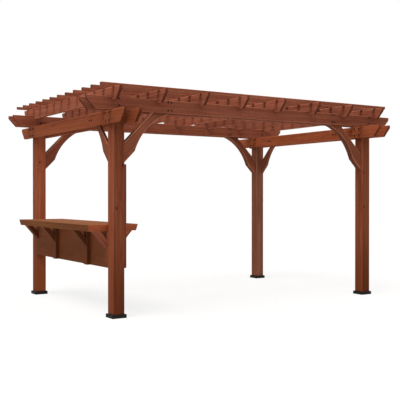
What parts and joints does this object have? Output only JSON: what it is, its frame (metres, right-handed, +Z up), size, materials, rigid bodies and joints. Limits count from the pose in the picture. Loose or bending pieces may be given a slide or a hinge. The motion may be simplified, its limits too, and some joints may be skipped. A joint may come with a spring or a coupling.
{
  "type": "wooden pergola",
  "caption": "Freestanding stained timber pergola with curved corner braces, notched rafters, slender roof slats and a bar counter between its left posts.",
  "frame": {"origin": "on the ground, midway between the four posts", "axes": "+X along the long beams to the right, +Y from front to back, +Z up; the counter is at -X"},
  "size_m": [4.627, 3.281, 2.62],
  "materials": {
    "post_timber": "satin",
    "roof_timber": "satin",
    "counter_timber": "satin",
    "black_base": "matte"
  },
  "bodies": {
    "root": {"post_front_left": "post_timber", "post_front_right": "post_timber", "post_back_left": "post_timber", "post_back_right": "post_timber", "base_plate_front_left": "black_base", "base_plate_front_right": "black_base", "base_plate_back_left": "black_base", "base_plate_back_right": "black_base", "left_side_beam_outer": "roof_timber", "left_side_beam_inner": "roof_timber", "right_side_beam_outer": "roof_timber", "right_side_beam_inner": "roof_timber", "front_long_beam_outer": "roof_timber", "front_long_beam_inner": "roof_timber", "back_long_beam_outer": "roof_timber", "back_long_beam_inner": "roof_timber", "rafter_1": "roof_timber", "rafter_2": "roof_timber", "rafter_3": "roof_timber", "rafter_4": "roof_timber", "rafter_5": "roof_timber", "rafter_6": "roof_timber", "rafter_7": "roof_timber", "rafter_8": "roof_timber", "roof_slats": "roof_timber", "long_brace_front_left": "post_timber", "long_brace_front_right": "post_timber", "long_brace_back_left": "post_timber", "long_brace_back_right": "post_timber", "side_brace_front_left": "post_timber", "side_brace_front_right": "post_timber", "side_brace_back_right": "post_timber", "counter_top": "counter_timber", "counter_panel_outer": "counter_timber", "counter_panel_inner": "counter_timber", "counter_battens_outer": "counter_timber", "counter_battens_inner": "counter_timber", "counter_brackets_outer": "post_timber", "counter_brackets_inner": "post_timber", "post_cleat": "post_timber"}
  },
  "joints": []
}
